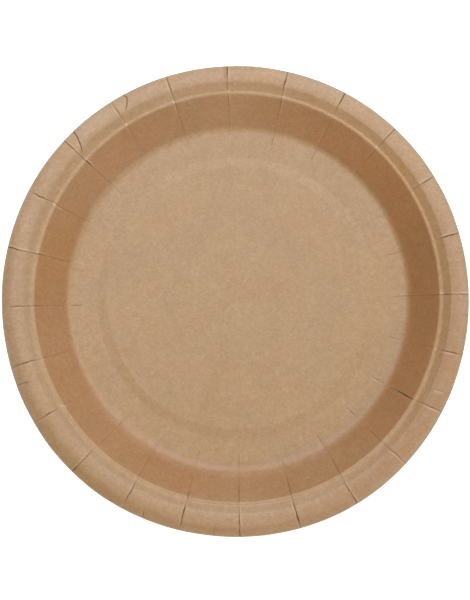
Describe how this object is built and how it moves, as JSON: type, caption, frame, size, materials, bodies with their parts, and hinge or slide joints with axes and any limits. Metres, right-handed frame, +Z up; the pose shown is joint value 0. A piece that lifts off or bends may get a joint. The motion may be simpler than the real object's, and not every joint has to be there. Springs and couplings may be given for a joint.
{
  "type": "paper plate",
  "caption": "Round shallow kraft board plate, pressed from one flat blank, with a slightly raised centre disc, sloping wall, thin bead, turned-down rim and radial pleat creases.",
  "frame": {"origin": "middle of the round outline, at the height of the surface that the plate rests on", "axes": "+Z up out of the dish, +Y towards the side where the rim is narrowest, +X to the right of it"},
  "size_m": [0.23, 0.23, 0.0182],
  "materials": {
    "kraft_board": "satin"
  },
  "bodies": {
    "root": {"plate": "kraft_board"}
  },
  "joints": []
}
